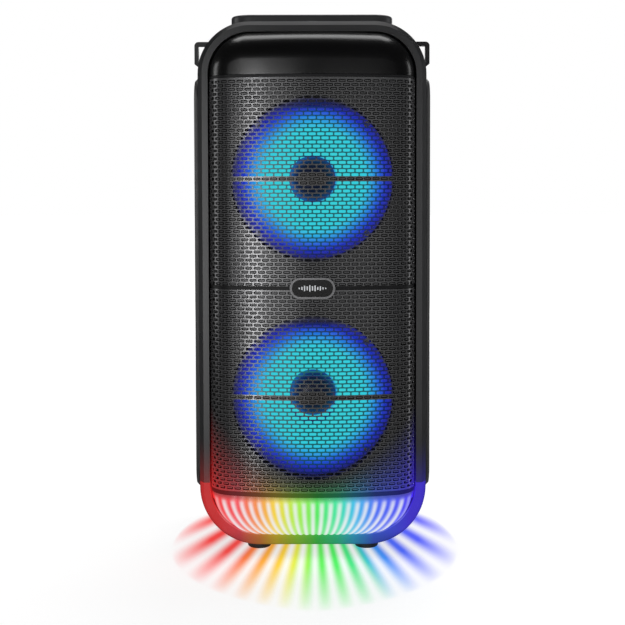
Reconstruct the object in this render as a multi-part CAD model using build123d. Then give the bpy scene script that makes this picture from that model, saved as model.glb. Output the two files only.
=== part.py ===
"""Tower party speaker with two 6.5 inch drivers, a lit base and a top carry handle.

Frame: +Z up, the front faces -Y, +X is to the right when looking at the front.
Origin: on the floor, at the middle of the cabinet. All sizes are in millimetres.
Each function builds one sub-part, and the last section writes one STEP per node.
"""

import math
import os

from build123d import *

# ---------------------------------------------------------------- driving dimensions
# Cabinet, seen from the front: a tall rounded rectangle on four feet.
CABINET_HALF_WIDTH = 119.5
CABINET_TOP = 569.0
CABINET_BOTTOM = 15.0
CABINET_RADIUS_TOP = 54.0
CABINET_RADIUS_BOTTOM = 62.5
CABINET_FRONT_Y = -62.0
CABINET_BACK_Y = 112.0
CABINET_REAR_ROUND = 14.0
WALL = 3.5

# Front form: the crowned nose that visor, grilles and lens share.
FORM_HALF_WIDTH = 108.0
FORM_TOP = 557.0
FORM_BOTTOM = 28.5
FORM_RADIUS_TOP = 43.0
FORM_RADIUS_BOTTOM = 51.0
FORM_CROWN_RADIUS = 330.0
FORM_EDGE_ROUND = 30.0
FORM_FRONT_Y = -115.0
FORM_BACK_Y = -62.0

# Frame ring round the front form.
RING_FRONT_Y = -82.0
RING_OUTSET = 1.0
RING_GAP = 1.3
RING_CHAMFER_WIDTH = 5.0
RING_CHAMFER_DEPTH = 9.0
RING_SPLIT_Z = 82.6
SEAM_GAP = 0.4

# Heights where the front is divided into visor, grilles and lens.
TRIM_TOP_Z = (508.9, 511.3)
TRIM_MIDDLE_Z = (290.6, 293.8)
TRIM_BOTTOM_Z = (74.6, 78.8)

# Drivers: 6.5 inch units behind round windows.
DRIVER_Z = {"upper": 404.5, "lower": 178.5}
WINDOW_RADIUS = 84.6
MESH_THICKNESS = 1.2
CARRIER_INSET = (1.3, 3.4)
SLOT_PITCH_X = 17.6
SLOT_PITCH_Z = 8.37
SLOT_LENGTH = 14.6
SLOT_HEIGHT = 5.6
BAR_HEIGHT = 4.4
BADGE_CUT = (23.6, 11.2)
BADGE_RIM = (23.3, 10.9)
BADGE_OPENING = (21.2, 8.8)
BADGE_PLATE = (21.0, 8.6)
HUB_SIZE = (29.0, 12.5)

# Baffle: the structural tray that carries the drivers.
BAFFLE_FRONT_Y = -97.0
BAFFLE_THICKNESS = 6.0
BAFFLE_INSET = 4.0
BAFFLE_Z = (80.0, 520.0)
FLANGE_THICKNESS = 4.0
BASKET_HOLE_RADIUS = 72.0

# Top: control panel in front, carry handle over a finger tray behind it.
PANEL_HALF_WIDTH = 62.7
PANEL_Y = (-57.7, -17.3)
PANEL_FLOOR_Z = (561.5, 564.0)
BUTTON_RADIUS = 5.5
BUTTON_X = {
    "power": -53.0,
    "mode": -39.0,
    "previous": -25.0,
    "play": 25.0,
    "next": 39.0,
    "light": 53.0,
}
CONTROL_Y = -37.5
KNOB_RADIUS = 15.0
BOARD_TOP_Z = 553.6
TRAY_HALF_WIDTH = 61.7
TRAY_Y = (-11.7, 63.7)
TRAY_BOTTOM_Z = 535.0
HANDLE_HALF_LENGTH = 90.0
HANDLE_Y = (-8.0, 38.0)
HANDLE_Z = (572.0, 586.0)
HANDLE_GAP_HALF = 60.0

# Back: socket panel and two bass ports.
REAR_PANEL_HALF_WIDTH = 61.7
REAR_PANEL_Z = (425.3, 504.7)
REAR_FLOOR_Y = (104.0, 107.0)
ROCKER_AXIS_Y = 105.5
ROCKER_PIN_RADIUS = 0.9
SOCKET_Z = 465.0
SOCKET_X = {"mic": -44.0, "aux": -22.0, "usb": 2.0, "charging": 24.0, "rocker": 46.0}
MIC_BORE = 3.2
AUX_BORE = 1.8
PORT_Z = {"upper": 300.0, "lower": 120.0}
PORT_RADIUS = 24.0
PORT_WALL = 3.0
PORT_LENGTH = 70.0
PORT_FLANGE = 2.3

# Sides and base.
RAIL_Z = (68.0, 514.0)
RAIL_Y = (-54.0, 10.0)
RAIL_THICKNESS = 7.0
RAIL_END_ROUND = 24.0
LOOP_X = 128.5
LOOP_Z = (527.5, 554.5)
LOOP_BAR = 4.2
LOOP_Y = (-21.0, -9.0)
FOOT_X = 59.0
FOOT_Y = (-30.0, 84.0)
FOOT_RADIUS = 13.0

# Cone assembly of one driver, as radii and depths behind the baffle's front face.
CONE_RIM_RADIUS = 57.0
FORMER_RADIUS = 15.7
FORMER_WALL = 0.6
FORMER_END_Y = -38.0
CAP_RADIUS = 32.0
CAP_WALL = 0.8
SCREW_RADIUS = 1.45
HEAD_RADIUS = 3.1
HEAD_HEIGHT = 2.2
CLEARANCE = 0.1
LED_COUNT = 22


# ---------------------------------------------------------------- helpers
def block(x0, x1, y0, y1, z0, z1):
    """A box from its low and high corners."""
    middle = ((x0 + x1) / 2, (y0 + y1) / 2, (z0 + z1) / 2)
    return Pos(*middle) * Box(x1 - x0, y1 - y0, z1 - z0)


def standing(radius, height):
    """A cylinder that stands on the origin."""
    return Cylinder(radius, height, align=(Align.CENTER, Align.CENTER, Align.MIN))


def rod_x(radius, y, z, x0, x1):
    """A cylinder along X."""
    return Pos(x0, y, z) * Rot(0, 90, 0) * standing(radius, x1 - x0)


def rod_y(radius, x, z, y0, y1):
    """A cylinder along Y."""
    return Pos(x, y0, z) * Rot(-90, 0, 0) * standing(radius, y1 - y0)


def rod_z(radius, x, y, z0, z1):
    """A cylinder along Z."""
    return Pos(x, y, z0) * standing(radius, z1 - z0)


def rounded_face(half_width, top, bottom, radius_top, radius_bottom):
    """A rounded rectangle in the XZ plane."""
    corners = [(-half_width, bottom), (half_width, bottom), (half_width, top), (-half_width, top)]
    radii = [radius_bottom, radius_bottom, radius_top, radius_top]
    return make_face(Plane.XZ * FilletPolyline(*corners, radius=radii, close=True))


def prism_y(face, y0, y1):
    """Extrudes a face that lies in the XZ plane from y0 to y1."""
    return Pos(0, y0, 0) * extrude(face, y1 - y0, dir=(0, 1, 0))


def prism_z(half_x, y0, y1, radius, z0, z1):
    """A rounded rectangle in plan, from z0 to z1."""
    plan = Pos(0, (y0 + y1) / 2) * RectangleRounded(2 * half_x, y1 - y0, radius)
    return Pos(0, 0, z0) * extrude(plan, z1 - z0)


def turned_y(points, z):
    """Revolves a closed outline of (radius, y) points about the line x = 0 at height z."""
    profile = make_face(Polyline(*points, close=True))
    return Pos(0, 0, z) * revolve(profile, Axis.Y)


def between(shape, z0, z1):
    """The slice of a shape between two heights."""
    return shape & block(-200, 200, -200, 200, z0, z1)


def screw_y(x, z, y_head, length, sign=1):
    """A pan head screw along Y. Its head stands on y_head, and its shank goes towards sign * Y."""
    screw = rod_y(HEAD_RADIUS, 0, 0, -HEAD_HEIGHT, 0) + rod_y(SCREW_RADIUS, 0, 0, 0, length)
    turn = 0 if sign > 0 else 180
    return Pos(x, y_head, z) * Rot(0, 0, turn) * screw


# ---------------------------------------------------------------- shared forms
def cabinet_form(inset, front=CABINET_FRONT_Y):
    """The cabinet's outer shape, moved inwards by inset."""
    face = rounded_face(
        CABINET_HALF_WIDTH - inset,
        CABINET_TOP - inset,
        CABINET_BOTTOM + inset,
        CABINET_RADIUS_TOP - inset,
        CABINET_RADIUS_BOTTOM - inset,
    )
    back = CABINET_BACK_Y - inset
    body = prism_y(face, front, back)
    rear_edges = [e for e in body.edges() if e.center().Y > back - 0.01]
    return fillet(rear_edges, CABINET_REAR_ROUND - inset)


def front_form(inset, back=FORM_BACK_Y):
    """The crowned front, moved inwards by inset: a cylinder-faced block with a rolled edge."""
    face = rounded_face(
        FORM_HALF_WIDTH - inset,
        FORM_TOP - inset,
        FORM_BOTTOM + inset,
        FORM_RADIUS_TOP - inset,
        FORM_RADIUS_BOTTOM - inset,
    )
    body = prism_y(face, FORM_FRONT_Y - 15, back)
    body = body & rod_z(FORM_CROWN_RADIUS - inset, 0, FORM_FRONT_Y + FORM_CROWN_RADIUS, 0, 700)
    rim = [e for e in body.edges() if e.bounding_box().max.Y < back - 5]
    return fillet(rim, FORM_EDGE_ROUND - inset)


def skin(inset_outer, inset_inner):
    """A shell of the front form between two insets."""
    return FORMS[inset_outer] - FORMS[inset_inner]


FORMS = {inset: front_form(inset) for inset in (0.0, 0.2, 1.2, 1.3, 2.5, 3.0, 3.4, 3.6, 13.4, 14.0, 16.0)}
CABINET_SOLID = cabinet_form(0)
CABINET_INSIDE = cabinet_form(0.5)


def plan_point(inset, distance):
    """The point and the outward direction on the front form's plan outline, at an arc distance from x = 0."""
    crown, edge = FORM_CROWN_RADIUS - inset, FORM_EDGE_ROUND - inset
    centre_y = FORM_FRONT_Y + FORM_CROWN_RADIUS
    edge_x = FORM_HALF_WIDTH - FORM_EDGE_ROUND
    meet = math.asin(edge_x / (FORM_CROWN_RADIUS - FORM_EDGE_ROUND))
    side, run = math.copysign(1, distance), abs(distance)
    if run <= crown * meet:
        angle = run / crown
        x, y = crown * math.sin(angle), centre_y - crown * math.cos(angle)
    else:
        angle = meet + (run - crown * meet) / edge
        edge_y = centre_y - (FORM_CROWN_RADIUS - FORM_EDGE_ROUND) * math.cos(meet)
        x, y = edge_x + edge * math.sin(angle), edge_y - edge * math.cos(angle)
    return side * x, y, side * angle


# ---------------------------------------------------------------- housing
def flange_screw_places():
    """Ten screw points round the baffle's flange, as (x, z)."""
    places = []
    for side in (-1, 1):
        places += [(side * 112.6, z) for z in (130.0, 290.0, 450.0)]
        places += [(side * 75.0, 560.7), (side * 40.0, 23.2)]
    return places


def rear_cabinet():
    """Moulded rear housing, open at the front."""
    body = CABINET_SOLID - cabinet_form(WALL, CABINET_FRONT_Y - 1)
    for x, z in flange_screw_places():
        across, along = (9, 4.5) if abs(x) > 100 else (4.5, 9)
        post = block(x - across, x + across, CABINET_FRONT_Y + FLANGE_THICKNESS, -36, z - along, z + along)
        post = post & CABINET_INSIDE & block(-150, 150, -100, 0, 18, 700)
        body = body + post
    for x in (-48, 48):
        for z in (352, 408):
            body = body + rod_y(3, x, z, 99.6, CABINET_BACK_Y - 1)
    for x in (-45, 45):
        body = body + block(x - 2, x + 2, 25, 85, CABINET_BOTTOM + 1, 22)
    for x, z in flange_screw_places():
        body = body - rod_y(SCREW_RADIUS + CLEARANCE, x, z, CABINET_FRONT_Y, -44)
    panel_room = PANEL_HALF_WIDTH + 0.3
    body = body - prism_z(panel_room, PANEL_Y[0] - 0.3, PANEL_Y[1] + 0.3, 8.3, 555, 580)
    body = body - prism_z(TRAY_HALF_WIDTH + 0.3, TRAY_Y[0] - 0.3, TRAY_Y[1] + 0.3, 14.3, 555, 580)
    rear = REAR_PANEL_HALF_WIDTH + 0.3
    window = rounded_face(rear, REAR_PANEL_Z[1] + 0.3, REAR_PANEL_Z[0] - 0.3, 8.3, 8.3)
    body = body - prism_y(window, 100, 120)
    for z in PORT_Z.values():
        body = body - rod_y(PORT_RADIUS + PORT_WALL + 0.3, 0, z, 100, 120)
        for angle in range(45, 360, 90):
            x, dz = 31 * math.cos(math.radians(angle)), 31 * math.sin(math.radians(angle))
            body = body - rod_y(SCREW_RADIUS + CLEARANCE, x, z + dz, 100, 120)
    for side in (-1, 1):
        for z in rail_screw_heights():
            hole = rod_x(SCREW_RADIUS + CLEARANCE, sum(RAIL_Y) / 2, z, 110, 125)
            body = body - (hole if side > 0 else mirror(hole, Plane.YZ))
    return body


def front_baffle():
    """Tray that carries the drivers, with a flange that closes the cabinet's mouth."""
    inner_y = BAFFLE_FRONT_Y + BAFFLE_THICKNESS
    flange_back = CABINET_FRONT_Y + FLANGE_THICKNESS
    low, high = BAFFLE_Z
    inset = WALL + 0.3
    flange_face = rounded_face(
        CABINET_HALF_WIDTH - inset,
        CABINET_TOP - inset,
        CABINET_BOTTOM + inset,
        CABINET_RADIUS_TOP - inset,
        CABINET_RADIUS_BOTTOM - inset,
    )
    tray = front_form(BAFFLE_INSET, flange_back) & block(-200, 200, BAFFLE_FRONT_Y, flange_back, low, high)
    hollow_space = block(-200, 200, inner_y, flange_back + 1, low + 4, high - 4)
    hollow = front_form(BAFFLE_INSET + 3, flange_back + 1) & hollow_space
    body = tray + prism_y(flange_face, CABINET_FRONT_Y, flange_back) - hollow
    for z in DRIVER_Z.values():
        body = body - rod_y(BASKET_HOLE_RADIUS, 0, z, BAFFLE_FRONT_Y - 1, inner_y + 1)
        for x, dz in driver_screw_places():
            body = body - rod_y(SCREW_RADIUS + CLEARANCE, x, z + dz, BAFFLE_FRONT_Y - 1, inner_y + 1)
    for x, z in flange_screw_places():
        body = body - rod_y(SCREW_RADIUS + CLEARANCE, x, z, CABINET_FRONT_Y - 1, flange_back + 1)
    return body


def ring_solid():
    """The whole frame ring, before it is divided at its split line."""
    outset = RING_OUTSET
    outer = prism_y(
        rounded_face(
            CABINET_HALF_WIDTH + outset,
            CABINET_TOP + outset,
            CABINET_BOTTOM - outset,
            CABINET_RADIUS_TOP + outset,
            CABINET_RADIUS_BOTTOM + outset,
        ),
        RING_FRONT_Y,
        CABINET_FRONT_Y,
    )
    front = outer.faces().sort_by(Axis.Y)[0]
    outer = chamfer(front.edges(), RING_CHAMFER_WIDTH, RING_CHAMFER_DEPTH, reference=front)
    opening = prism_y(
        rounded_face(
            FORM_HALF_WIDTH + RING_GAP,
            FORM_TOP + RING_GAP,
            FORM_BOTTOM - RING_GAP,
            FORM_RADIUS_TOP + RING_GAP,
            FORM_RADIUS_BOTTOM + RING_GAP,
        ),
        RING_FRONT_Y - 1,
        CABINET_FRONT_Y + 1,
    )
    ring = outer - opening
    for x, z in flange_screw_places():
        ring = ring - rod_y(HEAD_RADIUS + 0.4, x, z, CABINET_FRONT_Y - 3, CABINET_FRONT_Y + 1)
    return ring


def top_visor():
    """Glossy cap over the top of the front."""
    return between(skin(0.0, 2.5), TRIM_TOP_Z[1] + SEAM_GAP, 600)


def trim_strip(z_range):
    """Thin strip that divides two front panels."""
    return between(skin(0.2, 3.0), *z_range)


# ---------------------------------------------------------------- grilles
def window_cut(z):
    """The opening in a grille carrier: a round window less its crossbar and hub pad."""
    disc = rod_y(WINDOW_RADIUS, 0, z, -125, -95)
    bar = block(-90, 90, -125, -95, z - BAR_HEIGHT / 2, z + BAR_HEIGHT / 2)
    half_x, half_z = HUB_SIZE[0] / 2, HUB_SIZE[1] / 2
    hub = prism_y(rounded_face(half_x, z + half_z, z - half_z, 4, 4), -125, -95)
    return disc - bar - hub


def badge_shape(half_x, half_z, y0, y1):
    """The badge's pill outline as a block."""
    z = sum(TRIM_MIDDLE_Z) / 2
    return prism_y(rounded_face(half_x, z + half_z, z - half_z, half_z - 0.01, half_z - 0.01), y0, y1)


def slot_cuts(z_driver):
    """Staggered oblong holes inside one round window, clear of the crossbar."""
    slot = extrude(Plane.XZ * SlotOverall(SLOT_LENGTH, SLOT_HEIGHT), 45)
    reach = WINDOW_RADIUS - 2
    cuts = []
    for row in range(-10, 11):
        z = row * SLOT_PITCH_Z
        if row == 0:
            continue
        for column in range(-6, 7):
            x = (column + 0.5 * (row % 2)) * SLOT_PITCH_X
            if math.hypot(abs(x) + SLOT_LENGTH / 2, abs(z) + SLOT_HEIGHT / 4) < reach:
                cuts.append(Pos(x, -80, z_driver + z) * slot)
    return cuts


def grille_mesh(name):
    """Perforated outer skin of one grille."""
    body = between(skin(0.0, MESH_THICKNESS), *GRILLE_Z[name])
    body = body - badge_shape(*BADGE_CUT, -125, -100)
    return body.cut(*slot_cuts(DRIVER_Z[name]))


def grille_carrier(name):
    """Moulded backing of one grille, with its driver window."""
    body = between(skin(*CARRIER_INSET), *GRILLE_Z[name])
    body = body - badge_shape(*BADGE_CUT, -125, -100)
    return body - window_cut(DRIVER_Z[name])


GRILLE_Z = {
    "upper": (TRIM_MIDDLE_Z[1] + SEAM_GAP, TRIM_TOP_Z[0] - SEAM_GAP),
    "lower": (TRIM_BOTTOM_Z[1] + SEAM_GAP, TRIM_MIDDLE_Z[0] - SEAM_GAP),
}


def badge_bezel():
    """Raised rim of the badge, set in the grilles' cut-out."""
    return badge_shape(*BADGE_RIM, -116.5, -109) - badge_shape(*BADGE_OPENING, -120, -112.0)


def badge_plate():
    """Blank gloss plate inside the badge's rim."""
    return badge_shape(*BADGE_PLATE, -115.6, -112.0)


# ---------------------------------------------------------------- lit base
def light_lens():
    """Translucent lens that wraps the base of the front."""
    return between(skin(0.0, 3.0), 0, TRIM_BOTTOM_Z[0] - SEAM_GAP)


def light_reflector():
    """White tray behind the lens."""
    return between(skin(14.0, 16.0), 0, 72.0)


def light_board():
    """Circuit board along the lens's upper edge, with its LEDs facing down."""
    return between(skin(3.6, 13.4), 70.4, 72.0) & block(-200, 200, -200, -66, 0, 100)


def light_leds():
    """A row of LEDs, spaced evenly along the board."""
    reach = 100.0
    solids = []
    for index in range(LED_COUNT):
        distance = -reach + 2 * reach * index / (LED_COUNT - 1)
        x, y, angle = plan_point(8.5, distance)
        solids.append(Pos(x, y, 69.5) * Rot(0, 0, math.degrees(angle)) * Box(5, 5, 1.8))
    return Compound(children=solids)


# ---------------------------------------------------------------- drivers
def driver_screw_places():
    """Four screw points of one driver, as (x, height above its centre)."""
    return [(79.6 * math.cos(math.radians(a)), 79.6 * math.sin(math.radians(a))) for a in (45, 135, 225, 315)]


def driver_basket(z):
    """Pressed steel frame of a driver, with six open windows."""
    front = BAFFLE_FRONT_Y
    flange = [(70.0, front - 2.8), (83.0, front - 2.8), (83.0, front), (71.2, front)]
    outside = [(71.2, -79.0), (46.5, -52.0)]
    underside = [(46.5, -49.0), (20.0, -49.0), (20.0, -51.0), (44.5, -51.0)]
    inside = [(69.2, -80.0), (69.2, front - 1.6), (70.0, front - 1.6)]
    body = turned_y(flange + outside + underside + inside, z)
    for step in range(6):
        window = Pos(0, -66, z) * Rot(0, 60 * step + 30, 0) * Pos(62, 0, 0) * Box(44, 19, 30)
        body = body - window
    for x, dz in driver_screw_places():
        body = body - rod_y(SCREW_RADIUS + CLEARANCE, x, z + dz, front - 4, front + 1)
    return body


def driver_magnet(z):
    """Top plate, ferrite ring and pole yoke, as three solids round the coil's gap."""
    plate = rod_y(45, 0, z, -49, -43) - rod_y(17.0, 0, z, -50, -42)
    ferrite = rod_y(42, 0, z, -43, -28) - rod_y(20, 0, z, -44, -27)
    yoke = rod_y(38, 0, z, -28, -22) + rod_y(14.2, 0, z, -48, -28)
    return Compound(children=[plate, ferrite, yoke])


def driver_surround(z):
    """Rubber half-roll between cone and basket."""
    front = BAFFLE_FRONT_Y
    inner, outer = CONE_RIM_RADIUS - 2.5, 69.8
    roll_in, roll_out = CONE_RIM_RADIUS + 1.2, 66.5
    middle, radius, wall = (roll_in + roll_out) / 2, (roll_out - roll_in) / 2, 0.9
    lip_y = front - 1.6
    outline = Polyline((roll_in, lip_y), (inner, lip_y), (inner, lip_y - wall), (roll_in, lip_y - wall))
    rise = ThreePointArc((roll_in, lip_y - wall), (middle, lip_y - wall - radius), (roll_out, lip_y - wall))
    rest = Polyline((roll_out, lip_y - wall), (outer, lip_y - wall), (outer, lip_y), (roll_out - wall, lip_y))
    under = ThreePointArc(
        (roll_out - wall, lip_y), (middle, lip_y - radius + wall), (roll_in + wall, lip_y)
    )
    close = Line((roll_in + wall, lip_y), (roll_in, lip_y))
    profile = make_face([outline, rise, rest, under, close])
    return Pos(0, 0, z) * revolve(profile, Axis.Y)


def driver_light_ring(z):
    """Translucent ring that lights the driver's edge."""
    front = BAFFLE_FRONT_Y - 2.8
    inner = [(70.4, front), (70.4, front - 1.6), (71.6, front - 2.6)]
    outline = inner + [(146.0 - radius, y) for radius, y in reversed(inner)]
    return turned_y(outline, z)


def driver_cone(z):
    """Cone with its coil former, the part that pumps."""
    rim_y = BAFFLE_FRONT_Y - 1.6
    neck_y, wall = -70.0, 1.3
    outline = [
        (CONE_RIM_RADIUS, rim_y),
        (CONE_RIM_RADIUS, rim_y + wall),
        (FORMER_RADIUS, neck_y + wall),
        (FORMER_RADIUS, FORMER_END_Y),
        (FORMER_RADIUS - FORMER_WALL, FORMER_END_Y),
        (FORMER_RADIUS - FORMER_WALL, neck_y - 0.6),
        (CONE_RIM_RADIUS - 2.2, rim_y),
    ]
    return turned_y(outline, z)


def driver_cap(z):
    """Domed dust cap, glued to the cone."""
    middle_y, rim_y = -56.46, -77.17
    dome = Pos(0, middle_y, z) * (Sphere(CAP_RADIUS) - Sphere(CAP_RADIUS - CAP_WALL))
    return dome & block(-50, 50, -100, rim_y, z - 50, z + 50)


def driver_screws():
    """Eight screws that hold both drivers."""
    heads_y = BAFFLE_FRONT_Y - 2.8
    solids = []
    for z in DRIVER_Z.values():
        solids += [screw_y(x, z + dz, heads_y, 8) for x, dz in driver_screw_places()]
    return Compound(children=solids)


# ---------------------------------------------------------------- top controls
def control_panel():
    """Sunk dish that holds the buttons and the knob."""
    body = prism_z(PANEL_HALF_WIDTH, *PANEL_Y, 8, PANEL_FLOOR_Z[0], CABINET_TOP)
    dish = prism_z(PANEL_HALF_WIDTH - 2, PANEL_Y[0] + 2, PANEL_Y[1] - 2, 6, PANEL_FLOOR_Z[1], CABINET_TOP + 1)
    body = body - dish
    for x in BUTTON_X.values():
        body = body - rod_z(BUTTON_RADIUS + 0.3, x, CONTROL_Y, 550, 580)
    body = body - rod_z(3.05, 0, CONTROL_Y, 550, 580)
    for x in (-57, 57):
        for y in (-52, -23):
            body = body + rod_z(2.5, x, y, BOARD_TOP_Z, PANEL_FLOOR_Z[0] + 0.5)
    return body


def control_board():
    """Board under the panel with a switch below each button and the encoder's base."""
    solids = [block(-59, 59, -54.5, -20.5, BOARD_TOP_Z - 1.6, BOARD_TOP_Z)]
    solids.append(block(-6, 6, CONTROL_Y - 6, CONTROL_Y + 6, BOARD_TOP_Z, BOARD_TOP_Z + 4.4))
    for x in BUTTON_X.values():
        solids.append(block(x - 3, x + 3, CONTROL_Y - 3, CONTROL_Y + 3, BOARD_TOP_Z, BOARD_TOP_Z + 0.8))
    return Compound(children=solids)


def push_button(x):
    """Round button with a retaining flange and a stem."""
    cap = rod_z(BUTTON_RADIUS, x, CONTROL_Y, 560.0, 565.6)
    cap = chamfer(cap.edges().group_by(Axis.Z)[-1], 0.5)
    flange = rod_z(BUTTON_RADIUS + 1.1, x, CONTROL_Y, 559.8, 561.2)
    return cap + flange + rod_z(2, x, CONTROL_Y, 555.5, 560.0)


def volume_knob():
    """Knurled rotary knob on its shaft."""
    body = rod_z(KNOB_RADIUS, 0, CONTROL_Y, 564.5, 573.0)
    body = chamfer(body.edges().group_by(Axis.Z)[-1], 1.2)
    for step in range(24):
        angle = math.radians(15 * step)
        x, y = (KNOB_RADIUS + 0.5) * math.cos(angle), (KNOB_RADIUS + 0.5) * math.sin(angle)
        body = body - rod_z(1.1, x, CONTROL_Y + y, 565.5, 580)
    return body + rod_z(3, 0, CONTROL_Y, 558.4, 565)


# ---------------------------------------------------------------- handle and straps
def handle_tray():
    """Finger well under the handle."""
    body = prism_z(TRAY_HALF_WIDTH, *TRAY_Y, 14, TRAY_BOTTOM_Z, CABINET_TOP)
    wall = 2.5
    y0, y1 = TRAY_Y[0] + wall, TRAY_Y[1] - wall
    well = prism_z(TRAY_HALF_WIDTH - wall, y0, y1, 11.5, TRAY_BOTTOM_Z + wall, CABINET_TOP + 1)
    return body - well


def handle_grip():
    """Carry handle: a flat bar that bridges the finger well and stands on the cabinet's shoulders."""
    radius = (HANDLE_Y[1] - HANDLE_Y[0]) / 2 - 0.01
    bar = prism_z(HANDLE_HALF_LENGTH, *HANDLE_Y, radius, 555, HANDLE_Z[1])
    bar = fillet(bar.edges().group_by(Axis.Z)[-1], 3.0)
    gap = block(-HANDLE_GAP_HALF, HANDLE_GAP_HALF, -20, 60, 540, HANDLE_Z[0])
    bar = bar - gap - CABINET_SOLID
    for side in (-1, 1):
        lip = block(side * 60.0 - 2, side * 60.0 + 2, -20, 70, 540, CABINET_TOP + 0.3)
        bar = bar - lip
    return bar.solids().sort_by(SortBy.VOLUME)[-1]


def strap_loop(side):
    """Strap eyelet that stands out from the cabinet's shoulder."""
    z0, z1 = LOOP_Z
    outer = [(100, z1), (LOOP_X, z1), (LOOP_X, z0 + 3), (LOOP_X - 4, z0), (100, z0)]
    hole_x, hole_top, hole_bottom = LOOP_X - LOOP_BAR, z1 - LOOP_BAR, z0 + LOOP_BAR
    inner = [(95, hole_top), (hole_x, hole_top), (hole_x, hole_bottom), (95, hole_bottom)]
    body = prism_y(make_face(Plane.XZ * Polyline(*outer, close=True)), *LOOP_Y)
    corner = [e for e in body.edges() if abs(e.center().X - LOOP_X) < 0.1 and abs(e.center().Z - z1) < 0.1]
    body = fillet([e for e in corner if e.length < 15], 4.5)
    body = body - prism_y(make_face(Plane.XZ * Polyline(*inner, close=True)), LOOP_Y[0] - 1, LOOP_Y[1] + 1)
    body = (body - CABINET_SOLID).solids().sort_by(SortBy.VOLUME)[-1]
    return body if side > 0 else mirror(body, Plane.YZ)


# ---------------------------------------------------------------- sides and feet
def rail_screw_heights():
    """Heights of the three screws in each side rail."""
    return (100.0, 291.0, 482.0)


def side_rail(side):
    """Grooved bumper rail on one side of the cabinet."""
    x0, x1 = CABINET_HALF_WIDTH, CABINET_HALF_WIDTH + RAIL_THICKNESS
    middle_y, middle_z = sum(RAIL_Y) / 2, sum(RAIL_Z) / 2
    outline = RectangleRounded(RAIL_Y[1] - RAIL_Y[0], RAIL_Z[1] - RAIL_Z[0], RAIL_END_ROUND)
    plan = Plane.YZ * Pos(middle_y, middle_z) * outline
    body = Pos(x0, 0, 0) * extrude(plan, RAIL_THICKNESS)
    outer_edges = [e for e in body.edges() if e.bounding_box().min.X > x1 - 0.01]
    body = chamfer(outer_edges, 3.0)
    for offset in (-15, -5, 5, 15):
        y = middle_y + offset
        body = body - block(x1 - 1.4, x1 + 1, y - 1.5, y + 1.5, RAIL_Z[0] + 50, RAIL_Z[1] - 50)
    for z in rail_screw_heights():
        body = body - rod_x(SCREW_RADIUS + CLEARANCE, middle_y, z, x0 - 1, x1 + 1)
        body = body - rod_x(HEAD_RADIUS + 0.4, middle_y, z, x1 - 4.0, x1 + 1)
    body = body - CABINET_SOLID
    return body if side > 0 else mirror(body, Plane.YZ)


def rail_screws():
    """Six screws that hold the side rails."""
    x_seat = CABINET_HALF_WIDTH + RAIL_THICKNESS - 4.0
    y = sum(RAIL_Y) / 2
    solids = []
    for z in rail_screw_heights():
        head = rod_x(HEAD_RADIUS, y, z, x_seat, x_seat + HEAD_HEIGHT)
        screw = head + rod_x(SCREW_RADIUS, y, z, x_seat - 8, x_seat)
        solids += [screw, mirror(screw, Plane.YZ)]
    return Compound(children=solids)


def feet():
    """Four rubber feet that follow the cabinet's underside."""
    solids = []
    for x in (-FOOT_X, FOOT_X):
        for y in FOOT_Y:
            foot = rod_z(FOOT_RADIUS, x, y, 0, 22)
            foot = fillet(foot.edges().group_by(Axis.Z)[0], 3.0)
            solids.append((foot - CABINET_SOLID).solids().sort_by(Axis.Z)[0])
    return Compound(children=solids)


# ---------------------------------------------------------------- back
def rear_panel():
    """Sunk socket plate in the back."""
    plate = rounded_face(REAR_PANEL_HALF_WIDTH, REAR_PANEL_Z[1], REAR_PANEL_Z[0], 8, 8)
    body = prism_y(plate, REAR_FLOOR_Y[0], CABINET_BACK_Y)
    inner = rounded_face(REAR_PANEL_HALF_WIDTH - 2.5, REAR_PANEL_Z[1] - 2.5, REAR_PANEL_Z[0] + 2.5, 5.5, 5.5)
    body = body - prism_y(inner, REAR_FLOOR_Y[1], CABINET_BACK_Y + 1)
    y0, y1 = REAR_FLOOR_Y[0] - 1, REAR_FLOOR_Y[1] + 1
    body = body - rod_y(5.2, SOCKET_X["mic"], SOCKET_Z, y0, y1)
    body = body - rod_y(3.7, SOCKET_X["aux"], SOCKET_Z, y0, y1)
    body = body - rod_y(5.2, SOCKET_X["charging"], SOCKET_Z, y0, y1)
    usb_x, rocker_x = SOCKET_X["usb"], SOCKET_X["rocker"]
    body = body - block(usb_x - 8.1, usb_x + 8.1, y0, y1, SOCKET_Z - 4.6, SOCKET_Z + 4.6)
    body = body - block(rocker_x - 5.2, rocker_x + 5.2, y0, y1, SOCKET_Z - 8.7, SOCKET_Z + 8.7)
    body = body - rod_x(ROCKER_PIN_RADIUS + 0.05, ROCKER_AXIS_Y, SOCKET_Z, rocker_x - 6.8, rocker_x + 6.8)
    for x, z in rear_panel_screw_places():
        body = body - rod_y(SCREW_RADIUS + CLEARANCE, x, z, y0, y1)
    return body


def rear_panel_screw_places():
    """Four screw points of the socket plate."""
    return [(x, z) for x in (-52, 52) for z in (REAR_PANEL_Z[0] + 10, REAR_PANEL_Z[1] - 10)]


def round_jack(x, bore, collar, depth):
    """A round socket: block body behind the plate and a collar that passes through it."""
    body = block(x - 7, x + 7, 104.0 - depth, 103.8, SOCKET_Z - 7, SOCKET_Z + 7)
    body = body + rod_y(collar, x, SOCKET_Z, 103.0, 108.2)
    return body - rod_y(bore, x, SOCKET_Z, 104.0 - depth + 3, 110)


def charging_socket():
    """Barrel charging socket with its centre pin."""
    x = SOCKET_X["charging"]
    return round_jack(x, 2.8, 5.0, 14) + rod_y(1.0, x, SOCKET_Z, 92, 106)


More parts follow.
